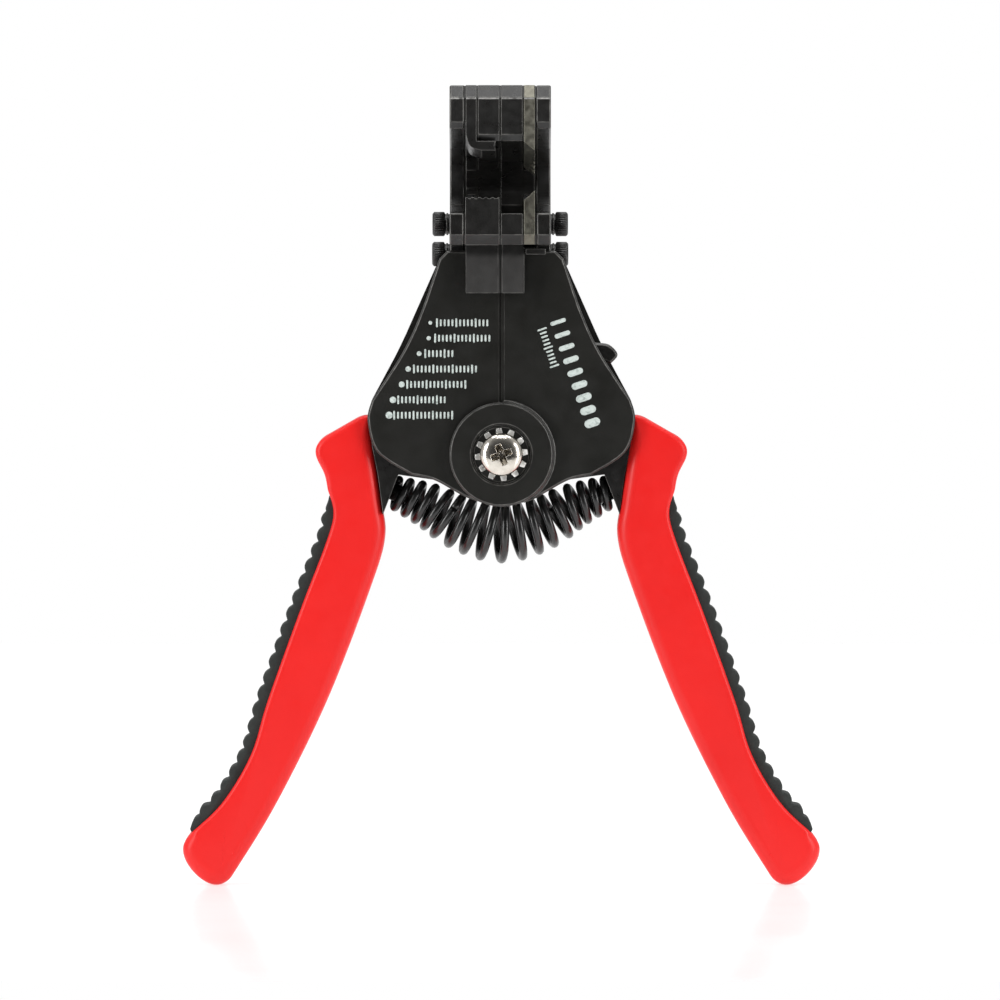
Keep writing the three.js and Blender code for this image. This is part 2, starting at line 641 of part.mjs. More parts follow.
// ---- catch -------------------------------------------------------------------------------------
const catchX = 15.5;              // place of its pin
const catchZ = 120.6;
const catchRadius = 1.2;
const catchHalf = 3.4;

function catchLever() {
  const shape = outline(1, [13.2, 121.6], [[15.4, 123.2], [18.5, 121.8]], [21.1, 120.6],
    [[24, 120.2], [25.9, 118], [24.3, 116]], [21, 117.4], [[15.4, 118], [13, 119.4]]);
  const bore = frameRod(catchX, catchZ, catchRadius + gap, -catchHalf - 1, catchHalf + 1);
  return cut(plate(shape, -catchHalf, catchHalf, 0.4, 3), bore);
}

const catchPin = () => frameRod(catchX, catchZ, catchRadius, -innerHalf, innerHalf);

// ---- assembly ----------------------------------------------------------------------------------
const group = new THREE.Group();

function add(name, solid, look) {
  const mesh = new THREE.Mesh(toGeometry(solid), look);
  mesh.name = name;
  group.add(mesh);
}

for (const [name, side] of [['left', LEFT], ['right', RIGHT]]) {
  add(`${name}_front_plate`, frontPlates[name](), blackPaint);
  add(`${name}_rear_plate`, rearPlates[name](), blackPaint);
  add(`${name}_spring_post`, springPost(side), blackSteel);
  add(`${name}_spacer`, spacer(side), blackSteel);
  add(`${name}_lower_cheek`, lowerCheek(side), blackSteel);
  add(`${name}_hinge_screw`, capScrew(side, hingeY, hingeZ, hingeReach), blackSteel);
  add(`${name}_hinge_washer`, springWasher(side, hingeY, hingeZ), blackSteel);
  add(`${name}_clamp_screw`, capScrew(side, clampY, clampZ, clampReach), blackSteel);
  add(`${name}_clamp_washer`, springWasher(side, clampY, clampZ), blackSteel);
  add(`${name}_jaw_arm`, jawArm(side), blackSteel);
  add(`${name}_jaw_block`, jawBlock(side), blackSteel);
  add(`${name}_jaw_pin`, jawPin(side), blackSteel);
  add(`${name}_jaw_spring`, jawSpring(side), springSteel);
  add(`${name}_lever`, lever(side, side === LEFT ? 6 : 4.2), blackSteel);
  add(`${name}_grip`, grip(side), redPlastic);
  add(`${name}_grip_inlay`, gripInlay(side), greyRubber);
  add(`${name}_spring_seat`, springSeat(side), blackSteel);
}
add('left_lower_block', leftLowerBlock(), blackSteel);
add('right_lower_block', rightLowerBlock(), blackSteel);
add('lower_blade', lowerBlade(), groundSteel);
add('upper_blade', upperBlade(), groundSteel);
add('upper_gripper', upperGripper(), blackSteel);
add('wire_stop', wireStop(), blackSteel);
add('pivot_screw', pivotScrew(), zincSteel);
add('pivot_star_washer', starWasher(), zincSteel);
add('pivot_sleeve', ringAtPivot(pivotHole, sleeveRadius, -innerHalf, innerHalf), zincSteel);
add('pivot_rear_washer', ringAtPivot(pivotHole, rearWasher.radius, rearWasher.front, rearWasher.back),
  zincSteel);
add('pivot_nut', pivotNut(), zincSteel);
add('handle_spring', handleSpring(), springSteel);
add('frame_spring', frameSpring(), springSteel);
add('catch_lever', catchLever(), blackSteel);
add('catch_pin', catchPin(), blackSteel);

export default group;
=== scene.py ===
"""Looks of the self-adjusting wire stripper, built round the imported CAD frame.

Pieces that need finer shapes than their CAD solids are built here: grips, inlays, springs and
screws. Outlines are in millimetres in the plane of the tool, X to the right and Z up, and every
piece ends up in metres in the CAD's frame. The front of the tool faces -Y.
"""
import math

import bmesh
import bpy
from mathutils import Matrix, Vector, kdtree


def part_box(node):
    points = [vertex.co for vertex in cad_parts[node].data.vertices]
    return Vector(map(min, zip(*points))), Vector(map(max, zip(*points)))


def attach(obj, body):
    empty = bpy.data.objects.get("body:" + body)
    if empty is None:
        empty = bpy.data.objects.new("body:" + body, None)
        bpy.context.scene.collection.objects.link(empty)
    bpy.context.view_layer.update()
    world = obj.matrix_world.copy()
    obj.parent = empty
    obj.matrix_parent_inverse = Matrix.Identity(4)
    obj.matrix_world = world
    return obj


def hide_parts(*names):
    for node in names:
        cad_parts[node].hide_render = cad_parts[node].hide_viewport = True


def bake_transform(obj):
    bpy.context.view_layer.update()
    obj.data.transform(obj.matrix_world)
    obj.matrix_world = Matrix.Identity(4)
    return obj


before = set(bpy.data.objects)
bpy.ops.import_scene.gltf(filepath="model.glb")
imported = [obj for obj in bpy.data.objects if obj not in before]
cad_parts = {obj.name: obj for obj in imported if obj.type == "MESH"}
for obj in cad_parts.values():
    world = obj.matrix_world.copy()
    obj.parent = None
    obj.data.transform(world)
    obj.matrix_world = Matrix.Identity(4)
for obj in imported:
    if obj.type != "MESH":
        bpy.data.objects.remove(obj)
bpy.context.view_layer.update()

MM = 0.001
LEFT = -1
RIGHT = 1
SIDES = {"left": LEFT, "right": RIGHT}
ROUND = 2 * math.pi

# ---- driving dimensions, in millimetres unless they say otherwise ------------------------------
GAP = 0.3                    # air that the CAD leaves between neighbouring pieces
HEAD_MIDDLE = -0.25          # X of the seam between the two frame halves and their jaws
HINGE = (12, 147)            # Y and Z of the pins that the upper jaws turn about
JAWS_OPEN = 16.5             # degrees by which the upper jaws stand open at rest
JAW_FRONT = -19              # Y of the front of the upper jaws when they are shut
PLATE_FACE = 9.4             # distance of the plates' outer faces from the middle plane
PLATE_BACK = 7.9             # and of their inner faces

# The middle line of the handle spring, and the coils round it.
SPRING_MIDDLE = [(-23.9, 87.4), (-16, 84.2), (-9.2, 80.6), (0, 78.3), (9.2, 80.6), (16, 84.2),
                 (23.9, 87.4)]
HANDLE_TURNS = 17
COIL_END = 2.95              # radius of the coils at the ends of the spring
COIL_SWELL = 3.0             # how much wider they are in the middle
COIL_WIRE = 0.93             # radius of the wire
CROWDING = 0.14              # share by which the end turns stand closer than the average
STRETCH_BORDER = 11          # distance from the middle where one stretch of the spring ends
STEPS_PER_TURN = 28
PULL_TURNS = 22              # frame spring
PULL_RADIUS = 2.2
PULL_WIRE = 0.42

# The line where a grip meets its inlay, from the shoulder down to the tip, and the inlay's ribs.
INLAY_EDGE = [(38.3, 86.8), (37.4, 83), (38.9, 76.5), (44.9, 60.8), (52, 41), (55.7, 29.1),
              (62, 18.5), (69.1, 11.9)]
TEETH = 22
RIB_BASE = 1.25
RIB_HEIGHT = 1.25
INLAY_ROOT = 1.8             # how deep the inlay sits in the grip
MOULD_SEAM = 0.18            # depth of the groove that the mould leaves round a grip

EDGE_ROUNDING = 0.15         # of the pieces that keep their CAD mesh
PLATE_CHAMFER = 0.4
JAW_CHAMFER = 0.25
INK = 0.03                   # height of the printed marks


# ---- places that come from the frame -----------------------------------------------------------
def middle_of(node):
    low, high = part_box(node)
    return (low + high) / 2


pivot = middle_of("pivot_sleeve")
plate_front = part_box("left_front_plate")[0].y
grip_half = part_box("left_grip")[1].y
inlay_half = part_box("left_grip_inlay")[1].y


# ---- outlines ----------------------------------------------------------------------------------
def smooth_run(points, spacing):
    """Points along a Catmull-Rom curve through all the given points, about spacing apart."""
    ends = [points[0]] + list(points) + [points[-1]]
    found = [points[0]]
    for a, b, c, d in zip(ends, ends[1:], ends[2:], ends[3:]):
        steps = max(1, round(math.dist(b, c) / spacing))
        for i in range(1, steps + 1):
            t = i / steps
            found.append(tuple(
                0.5 * (2 * q + (r - p) * t + (2 * p - 5 * q + 4 * r - s) * t ** 2
                       + (3 * q - p - 3 * r + s) * t ** 3)
                for p, q, r, s in zip(a, b, c, d)))
    return found


def inward(points):
    """The unit direction into a closed outline at each of its points."""
    area = sum(a[0] * b[1] - b[0] * a[1] for a, b in zip(points, points[1:] + points[:1]))
    turn = 1 if area > 0 else -1
    found = []
    for before, after in zip(points[-1:] + points[:-1], points[1:] + points[:1]):
        dx, dz = after[0] - before[0], after[1] - before[1]
        length = math.hypot(dx, dz) or 1
        found.append((-turn * dz / length, turn * dx / length))
    return found


def spread_out(values, passes):
    """Averages a closed list of numbers with their neighbours, so that it has no steps."""
    for _ in range(passes):
        values = [(a + b + c) / 3 for a, b, c in zip(values[-1:] + values[:-1], values,
                                                     values[1:] + values[:1])]
    return values


def eased(points, passes):
    """A closed outline with its corners worn round, one step of averaging per pass."""
    for _ in range(passes):
        points = [((a[0] + b[0] + c[0]) / 3, (a[1] + b[1] + c[1]) / 3)
                  for a, b, c in zip(points[-1:] + points[:-1], points, points[1:] + points[:1])]
    return points


def rounded_to_fit(points, directions, radii):
    """Shrinks each rounding until the edge moved in by it keeps clear of the rest of the outline."""
    least, shrink, clearance, margin, passes = 0.04, 0.9, 0.97, 0.85, 4
    near = kdtree.KDTree(len(points))
    for i, (x, z) in enumerate(points):
        near.insert((x, z, 0), i)
    near.balance()
    found = []
    for (x, z), (across, up), radius in zip(points, directions, radii):
        while radius > least:
            distance = near.find((x + across * radius, z + up * radius, 0))[2]
            if distance >= clearance * radius:
                break
            radius *= shrink
        found.append(margin * radius)
    for _ in range(passes):
        found = [min(pair) for pair in zip(found, spread_out(found, passes))]
    return found


# ---- meshes ------------------------------------------------------------------------------------
def mesh_object(name, builder):
    mesh = bpy.data.meshes.new(name)
    builder.normal_update()
    bmesh.ops.recalc_face_normals(builder, faces=builder.faces)
    builder.to_mesh(mesh)
    builder.free()
    mesh.shade_smooth()
    piece = bpy.data.objects.new(name, mesh)
    bpy.context.scene.collection.objects.link(piece)
    return piece


def loft(name, rings):
    """A closed skin over rings with equal numbers of points."""
    builder = bmesh.new()
    rows = [[builder.verts.new(point) for point in ring] for ring in rings]
    for row, following in zip(rows, rows[1:]):
        for i in range(len(row)):
            j = (i + 1) % len(row)
            builder.faces.new((row[i], row[j], following[j], following[i]))
    caps = [builder.faces.new(rows[0]), builder.faces.new(rows[-1])]
    builder.normal_update()
    bmesh.ops.triangulate(builder, faces=caps, ngon_method="EAR_CLIP")
    return mesh_object(name, builder)


def rounded_plate(name, points, half, radii, steps, seam=0.0):
    """A plate as thick as 2 * half about Y = 0, its edge rounded by a radius at each point (mm).

    seam is the depth of the fine groove round the middle of its edge, left by the mould.
    """
    seam_half = 0.25
    directions = inward(points)
    radii = rounded_to_fit(points, directions, radii)
    angles = [k / steps * math.pi / 2 for k in range(steps + 1)]
    levels = [[(r * (1 - math.cos(a)), r * (1 - math.sin(a)) - half / MM) for r in radii]
              for a in angles[::-1]]
    levels += [[(inset, depth)] * len(points)
               for inset, depth in ((0, -seam_half), (seam, 0), (0, seam_half)) if seam]
    levels += [[(r * (1 - math.cos(a)), half / MM - r * (1 - math.sin(a))) for r in radii]
               for a in angles]
    rings = [[Vector((x + across * inset, depth, z + up * inset)) * MM
              for (x, z), (across, up), (inset, depth) in zip(points, directions, level)]
             for level in levels]
    return loft(name, rings)


def tube(name, path, radius, sides):
    """A round wire along a path of points in metres, closed at both ends."""
    rings = []
    normal = None
    for i, point in enumerate(path):
        ahead = path[min(i + 1, len(path) - 1)] - path[max(i - 1, 0)]
        along = ahead.normalized()
        if normal is None:
            normal = along.orthogonal()
        normal = (normal - along * normal.dot(along)).normalized()
        other = along.cross(normal)
        rings.append([point + radius * (normal * math.cos(k * ROUND / sides)
                                        + other * math.sin(k * ROUND / sides))
                      for k in range(sides)])
    return loft(name, rings)


def circle(count, radius_at, height):
    """Points of a ring about +Z, its radius (mm) given at each of its angles."""
    angles = [k * ROUND / count for k in range(count)]
    return [Vector((radius_at(a) * math.cos(a), radius_at(a) * math.sin(a), height)) * MM
            for a in angles]


def turned(name, profile, count):
    """A solid of revolution about +Z from (radius, height) pairs in millimetres."""
    return loft(name, [circle(count, lambda _, r=r: r, h) for r, h in profile])


def cut_away(piece, tool):
    """Takes the tool's shape out of the piece, for good."""
    modifier = piece.modifiers.new("cut", "BOOLEAN")
    modifier.operation = "DIFFERENCE"
    modifier.object = tool
    modifier.solver = "EXACT"
    baked(piece)
    bpy.data.objects.remove(tool)


def baked(piece):
    """Applies the piece's modifiers to its mesh."""
    bpy.context.view_layer.update()
    evaluated = piece.evaluated_get(bpy.context.evaluated_depsgraph_get())
    piece.data = bpy.data.meshes.new_from_object(evaluated)
    piece.modifiers.clear()


def soften_edges(piece, width, segments=2, angle=30, worn_highlight=None, slant=0.0, merge=0.005,
                 clamp=False, flatten=True):
    """Rounds a piece's sharp edges by modifiers, leaving its mesh as it is.

    rubbed is the material of the rounded edges, where the finish is worn thin and painted lighter
    as a highlight. slant is the width of a flat chamfer (mm) along right-angled edges, made before
    the rounding. merge is the length (mm) under which an edge counts as a point. clamp narrows the
    rounding on pieces with tiny edges, and flatten first makes each flat side one face.
    """
    flat_angle, square_angle = 0.6, 60
    weld = piece.modifiers.new("one_skin", "WELD")
    weld.merge_threshold = merge * MM
    if flatten:
        dissolve = piece.modifiers.new("flat_faces", "DECIMATE")
        dissolve.decimate_type = "DISSOLVE"
        dissolve.angle_limit = math.radians(flat_angle)
    if slant:
        chamfer = piece.modifiers.new("chamfer", "BEVEL")
        chamfer.width = slant * MM
        chamfer.segments = 1
        chamfer.limit_method = "ANGLE"
        chamfer.angle_limit = math.radians(square_angle)
        chamfer.use_clamp_overlap = False
    bevel = piece.modifiers.new("soft_edges", "BEVEL")
    bevel.width = width * MM
    bevel.segments = segments
    bevel.limit_method = "ANGLE"
    bevel.angle_limit = math.radians(angle)
    bevel.use_clamp_overlap = clamp
    bevel.harden_normals = True
    bevel.miter_outer = "MITER_ARC"
    if worn_highlight:
        piece.data.materials.append(worn_highlight)
        bevel.material = len(piece.data.materials) - 1
    if slant:
        even = piece.modifiers.new("even_faces", "TRIANGULATE")
        even.ngon_method = "BEAUTY"
        even.min_vertices = 5
        even.keep_custom_normals = True


def place(piece, body, material, *replaced, slot=None):
    """Gives a piece its material, lets it ride on its body and stand for its CAD nodes."""
    piece.data.materials.clear()
    piece.data.materials.append(material)
    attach(piece, body)
    if replaced:
        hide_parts(*replaced)


# ---- materials ---------------------------------------------------------------------------------
class Paints:
    """Adds the nodes of one procedural material; lengths are in metres in object space."""

    def __init__(self, name, metallic, specular=0.5):
        self.material = bpy.data.materials.new(name)
        self.material.use_nodes = True
        self.tree = self.material.node_tree
        self.shader = self.tree.nodes["Principled BSDF"]
        self.shader.inputs["Metallic"].default_value = metallic
        self.shader.inputs["Specular IOR Level"].default_value = specular
        self.places = self.tree.nodes.new("ShaderNodeTexCoord").outputs["Object"]
        self.bump = None

    def link(self, output, socket):
        self.tree.links.new(output, socket)

    def stretched(self, stretch):
        """The object's coordinates scaled along each axis, for grain that runs one way."""
        node = self.tree.nodes.new("ShaderNodeMapping")
        node.inputs["Scale"].default_value = stretch
        self.link(self.places, node.inputs["Vector"])
        return node.outputs["Vector"]

    def noise(self, size, detail=4.0, stretch=(1, 1, 1)):
        node = self.tree.nodes.new("ShaderNodeTexNoise")
        node.inputs["Scale"].default_value = 1 / size
        node.inputs["Detail"].default_value = detail
        self.link(self.stretched(stretch), node.inputs["Vector"])
        return node.outputs["Fac"]

    def ramp(self, value, stops):
        node = self.tree.nodes.new("ShaderNodeValToRGB")
        band = node.color_ramp
        while len(band.elements) < len(stops):
            band.elements.new(0.5)
        for element, (position, color) in zip(band.elements, stops):
            element.position = position
            element.color = color if len(color) == 4 else (*color, 1)
        self.link(value, node.inputs["Fac"])
        return node.outputs["Color"]

    def color(self, output):
        self.link(output, self.shader.inputs["Base Color"])

    def roughness(self, value, low, high):
        node = self.tree.nodes.new("ShaderNodeMapRange")
        node.inputs["From Min"].default_value = 0.3
        node.inputs["From Max"].default_value = 0.7
        node.inputs["To Min"].default_value = low
        node.inputs["To Max"].default_value = high
        self.link(value, node.inputs["Value"])
        self.link(node.outputs["Result"], self.shader.inputs["Roughness"])

    def relief(self, value, height):
        """Adds one layer of bump, height metres deep."""
        node = self.tree.nodes.new("ShaderNodeBump")
        node.inputs["Strength"].default_value = 1.0
        node.inputs["Distance"].default_value = height
        self.link(value, node.inputs["Height"])
        if self.bump:
            self.link(self.bump, node.inputs["Normal"])
        self.bump = node.outputs["Normal"]
        self.link(self.bump, self.shader.inputs["Normal"])


def grey(level):
    return (level, level, level)


def black_paint():
    paint = Paints("black_paint", 0.0, specular=0.4)
    mottle = paint.noise(0.012)
    paint.color(paint.ramp(mottle, [(0.3, (0.0062, 0.0061, 0.0049)),
                                    (0.7, (0.0092, 0.0090, 0.0074))]))
    paint.roughness(paint.noise(0.004), 0.36, 0.46)
    paint.relief(paint.noise(0.0007, 3), 0.00002)
    paint.relief(paint.noise(0.006, 2), 0.00003)
    return paint.material


def black_steel():
    paint = Paints("black_steel", 0.0, specular=0.45)
    paint.color(paint.ramp(paint.noise(0.005), [(0.3, (0.0050, 0.0048, 0.0044)),
                                               (0.7, (0.0095, 0.0091, 0.0085))]))
    paint.roughness(paint.noise(0.002), 0.26, 0.42)
    paint.relief(paint.noise(0.0005, 4), 0.000025)
    return paint.material


def worn_edge_highlight():
    """Black finish worn thin along the edges, painted lighter there as a highlight."""
    paint = Paints("worn_edge_highlight", 0.4, specular=0.6)
    wear_and_glint = paint.noise(0.002, 4)
    # painted highlight: this edge colour is much lighter than the black finish, so the rounded edges
    # show as bright lines
    paint.color(paint.ramp(wear_and_glint, [(0.35, (0.035, 0.034, 0.032)), (0.7, (0.11, 0.107, 0.10))]))
    paint.roughness(wear_and_glint, 0.28, 0.4)
    paint.relief(paint.noise(0.0005, 3), 0.00001)
    return paint.material


def worn_rim_highlight():
    """Finish worn nearly bare on the upper jaws' front upper edge, with a painted highlight."""
    paint = Paints("worn_rim_highlight", 0.2, specular=0.5)
    wear_and_glint = paint.noise(0.0012, 5)
    # painted highlight: a light grey line on the black jaws
    paint.color(paint.ramp(wear_and_glint, [(0.35, (0.10, 0.098, 0.094)), (0.6, (0.34, 0.335, 0.325))]))
    paint.roughness(wear_and_glint, 0.4, 0.55)
    paint.relief(paint.noise(0.0005, 3), 0.00001)
    return paint.material


def plated_steel():
    """Zinc plating on the star washer, duller than on the turned parts."""
    paint = Paints("plated_steel", 0.75)
    paint.color(paint.ramp(paint.noise(0.001), [(0.3, (0.70, 0.69, 0.66)),
                                               (0.7, (0.86, 0.85, 0.82))]))
    paint.roughness(paint.noise(0.0008), 0.25, 0.35)
    paint.relief(paint.noise(0.0006, 3), 0.00001)
    return paint.material


def block_steel(border):
    """Black steel that turns lighter grey below border (m), across the legs."""
    paint = Paints("block_steel", 0.0, specular=0.4)
    height = paint.tree.nodes.new("ShaderNodeSeparateXYZ")
    paint.link(paint.places, height.inputs["Vector"])
    above = paint.tree.nodes.new("ShaderNodeMapRange")
    above.interpolation_type = "SMOOTHSTEP"
    fade = 0.9 * MM
    above.inputs["From Min"].default_value = border - fade
    above.inputs["From Max"].default_value = border + fade
    paint.link(height.outputs["Z"], above.inputs["Value"])
    mix = paint.tree.nodes.new("ShaderNodeMix")
    mix.data_type = "RGBA"
    paint.link(above.outputs["Result"], mix.inputs["Factor"])
    mottle = paint.noise(0.004)
    legs = [(0.3, (0.034, 0.033, 0.032)), (0.7, (0.042, 0.041, 0.0395))]
    block = [(0.3, (0.0060, 0.0058, 0.0053)), (0.7, (0.0100, 0.0096, 0.0090))]
    paint.link(paint.ramp(mottle, legs), mix.inputs["A"])
    paint.link(paint.ramp(mottle, block), mix.inputs["B"])
    paint.color(mix.outputs["Result"])
    paint.roughness(paint.noise(0.002), 0.34, 0.46)
    paint.relief(paint.noise(0.0005, 4), 0.00003)
    return paint.material


def ground_steel():
    paint = Paints("ground_steel", 1.0)
    scratches = paint.noise(0.0012, 5, stretch=(1, 0.06, 1))
    paint.color(paint.ramp(scratches, [(0.3, (0.11, 0.105, 0.086)), (0.7, (0.21, 0.203, 0.168))]))
    paint.roughness(scratches, 0.4, 0.55)
    paint.relief(scratches, 0.00003)
    return paint.material


def zinc_steel():
    paint = Paints("zinc_steel", 1.0)
    paint.color(paint.ramp(paint.noise(0.0015), [(0.3, (0.50, 0.465, 0.41)),
                                                (0.7, (0.62, 0.59, 0.535))]))
    paint.roughness(paint.noise(0.001), 0.10, 0.2)
    paint.relief(paint.noise(0.0009, 3), 0.00002)
    return paint.material


def spring_steel():
    paint = Paints("spring_steel", 0.0, specular=0.55)
    oil = paint.noise(0.003, 3)
    paint.color(paint.ramp(oil, [(0.35, (0.004, 0.004, 0.004)), (0.7, (0.008, 0.008, 0.0078))]))
    paint.roughness(oil, 0.27, 0.36)
    paint.relief(paint.noise(0.0008, 2), 0.000008)
    return paint.material


def red_plastic():
    paint = Paints("red_plastic", 0.0, specular=0.27)
    paint.color(paint.ramp(paint.noise(0.02), [(0.3, (0.68, 0.012, 0.011)),
                                              (0.7, (0.73, 0.0155, 0.014))]))
    paint.roughness(paint.noise(0.003), 0.33, 0.43)
    paint.relief(paint.noise(0.00035, 3), 0.00002)
    paint.relief(paint.noise(0.008, 2), 0.00008)
    return paint.material


def grey_rubber():
    paint = Paints("grey_rubber", 0.0, specular=0.35)
    paint.color(paint.ramp(paint.noise(0.003), [(0.3, (0.014, 0.0165, 0.0155)),
                                               (0.7, (0.023, 0.027, 0.025))]))
    paint.roughness(paint.noise(0.002), 0.55, 0.75)
    paint.relief(paint.noise(0.0004, 4), 0.00004)
    return paint.material


def white_ink():
    paint = Paints("white_ink", 0.0, specular=0.3)
    paint.color(paint.ramp(paint.noise(0.0008, 6), [(0.34, (0.34, 0.39, 0.37)),
                                                   (0.48, (0.56, 0.62, 0.59))]))
    paint.roughness(paint.noise(0.002), 0.45, 0.6)
    paint.relief(paint.noise(0.0003, 3), 0.000008)
    return paint.material


# ---- grips and inlays --------------------------------------------------------------------------
def grip_outline():
    """Outline of the right grip, and the rounding of its edge at each point."""
    spacing = 0.35
    top_rounding = 1.2
    runs = [
        (3.2, [(28.5, 97.6), (26.8, 85.7), (25.9, 77.3), (29.2, 65.9), (38.8, 41), (50, 18.3),
               (58.8, 3.8), (61, 0.9), (63.4, 0), (66.2, 0.9), (68.9, 3.3), (70.6, 6.2),
               (70.8, 9), (69.1, 11.6)]),
        (1.1, [(62, 18.5), (55.7, 29.1), (52, 41), (44.9, 60.8), (38.9, 76.5), (37.3, 83),
               (38.6, 88)]),
        (1.6, [(39.3, 91.5), (41.2, 95.4), (41.1, 97.8), (39.6, 99.6), (38.2, 100.4)]),
        (top_rounding, [(31.4, 104.3)]),
    ]
    points = [(29.5, 104.9)]
    radii = [top_rounding]
    for radius, run in runs:
        added = smooth_run([points[-1]] + run, spacing)[1:]
        points += added
        radii += [radius] * len(added)
    return eased(points, 5), spread_out(radii, 16)


def grip(name, side, material):
    points, radii = grip_outline()
    mirrored = [(side * x, z) for x, z in points]
    piece = rounded_plate(f"{name}_grip_body", mirrored, grip_half, radii, steps=7,
                          seam=MOULD_SEAM)
    place(piece, f"{name}_handle", material, f"{name}_grip", slot="red_plastic")


def inlay_outline():
    """Outline of the right inlay: the grip's edge inside, rounded teeth outside."""
    spacing = 0.25
    head_taper, tip_taper, tip_left = 22, 14, 0.25
    swell, swell_rate = 0.3, 4
    bluntness = 0.75
    edge = smooth_run(INLAY_EDGE, spacing)
    lengths = [0]
    for a, b in zip(edge, edge[1:]):
        lengths.append(lengths[-1] + math.dist(a, b))
    outer, inner = [], []
    for i, (x, z) in enumerate(edge):
        before, after = edge[max(i - 1, 0)], edge[min(i + 1, len(edge) - 1)]
        dx, dz = after[0] - before[0], after[1] - before[1]
        across, up = -dz / math.hypot(dx, dz), dx / math.hypot(dx, dz)
        share = lengths[i] / lengths[-1]
        taper = min(1, head_taper * share, tip_left + tip_taper * (1 - share))
        rise = abs(math.sin(math.pi * TEETH * share)) ** bluntness
        out = taper * (RIB_BASE + swell * min(1, swell_rate * share) + RIB_HEIGHT * rise)
        outer.append((x + across * out, z + up * out))
        inner.append((x - INLAY_ROOT * across, z - INLAY_ROOT * up))
    return eased(outer + inner[::-1], 2)


def grip_inlay(name, side, material):
    points = [(side * x, z) for x, z in inlay_outline()]
    rounding = 0.5
    piece = rounded_plate(f"{name}_ribbed_inlay", points, inlay_half, [rounding] * len(points),
                          steps=4)
    place(piece, f"{name}_handle", material, f"{name}_grip_inlay", slot="grey_rubber")


# ---- springs -----------------------------------------------------------------------------------
def coil_path(middle, turns, radius_at, crowding=0.0):
    """Helix of points (m) round a middle line given in millimetres in the plane of the tool.

    crowding is the share by which the turns stand closer at the ends than on average.
    """
    spacing = 0.1
    line = smooth_run(middle, spacing)
    lengths = [0]
    for a, b in zip(line, line[1:]):
        lengths.append(lengths[-1] + math.dist(a, b))
    steps = round(turns * STEPS_PER_TURN)
    found = []
    at = 0
    for i in range(steps + 1):
        turned_by = i / steps
        share = turned_by - crowding * math.sin(ROUND * turned_by) / ROUND
        while at < len(line) - 2 and lengths[at + 1] < share * lengths[-1]:
            at += 1
        a, b = line[at], line[at + 1]
        part = (share * lengths[-1] - lengths[at]) / (lengths[at + 1] - lengths[at])
        dx, dz = b[0] - a[0], b[1] - a[1]
        length = math.hypot(dx, dz)
        angle = ROUND * turns * turned_by
        out = radius_at(share) * math.cos(angle)
        forth = radius_at(share) * math.sin(angle)
        found.append(Vector((a[0] + part * dx - dz / length * out, forth,
                             a[1] + part * dz + dx / length * out)) * MM)
    return found


def handle_spring(material):
    """The arc spring, in three stretches."""
    path = coil_path(SPRING_MIDDLE, HANDLE_TURNS,
                     lambda share: COIL_END + COIL_SWELL * math.sin(math.pi * share), CROWDING)
    border = STRETCH_BORDER * MM
    last = len(path) - 1
    first_cut = next(i for i, point in enumerate(path) if point.x > -border)
    second_cut = last - first_cut
    stretches = [
        ("left", 0, first_cut, "left_handle", "left_frame", path[0].x, -border),
        ("middle", first_cut, second_cut, "left_frame", "right_frame", -border, border),
        ("right", second_cut, last, "right_frame", "right_handle", border, path[-1].x),
    ]
    for name, start, end, body, following, low, high in stretches:
        piece = tube(f"handle_spring_{name}", path[start:end + 1], COIL_WIRE * MM, 12)
        piece.data.materials.append(material)
        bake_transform(piece)
        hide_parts("handle_spring")


def frame_spring(material):
    """Tension spring between the two posts, with a hook round the waist of each."""
    left, right = middle_of("left_spring_post"), middle_of("right_spring_post")
    room_for_hook = 2.9
    reach = right.x / MM - room_for_hook
    coil = coil_path([(-reach, right.z / MM), (reach, right.z / MM)], PULL_TURNS,
                     lambda _: PULL_RADIUS)
    hook = 1.75 * MM
    opening, step = 20, 12

    def hook_round(post, side):
        turns = [math.radians(opening + step * k) for k in range(26)]
        return [post + Vector((-side * hook * math.cos(a), 0, hook * math.sin(a))) for a in turns]

    path = hook_round(left, LEFT)[::-1] + coil + hook_round(right, RIGHT)
    piece = tube("frame_spring_wire", path, PULL_WIRE * MM, 8)
    piece.data.materials.append(material)
    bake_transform(piece)
    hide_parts("frame_spring")


def spring_seat(name, side, material):
    """Peg on the lever's edge that the end of the handle spring is pushed over."""
    peg = turned(f"{name}_spring_peg", [(1.9, 0), (1.9, 3.4), (1.5, 3.8)], 32)
    first, second = [Vector((side * abs(x), 0, z)) * MM for x, z in SPRING_MIDDLE[:2]]
    along = (second - first).normalized()
    turn = along.to_track_quat("Z", "Y").to_matrix().to_4x4()
    sunk = 0.6 * MM
    peg.data.transform(Matrix.Translation(first - along * sunk) @ turn)
    place(peg, f"{name}_handle", material, f"{name}_spring_seat", slot="black_steel")


def jaw_spring(name, material):
    """Torsion spring round the hinge screw, which opens the upper jaw."""
    low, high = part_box(f"{name}_jaw_spring")
    centre = (low + high) / 2
    wire = 0.3 * MM
    radius = (high.z - low.z) / 2 - wire
    length = high.x - low.x - 2 * wire
    steps = 90
    turn = 0.19
    path = [Vector((centre.x + length * (i / steps - 0.5), centre.y + radius * math.cos(i * turn),
                    centre.z + radius * math.sin(i * turn))) for i in range(steps + 1)]
    piece = tube(f"{name}_jaw_spring_wire", path, wire, 8)
    place(piece, f"{name}_frame", material, f"{name}_jaw_spring", slot="spring_steel")


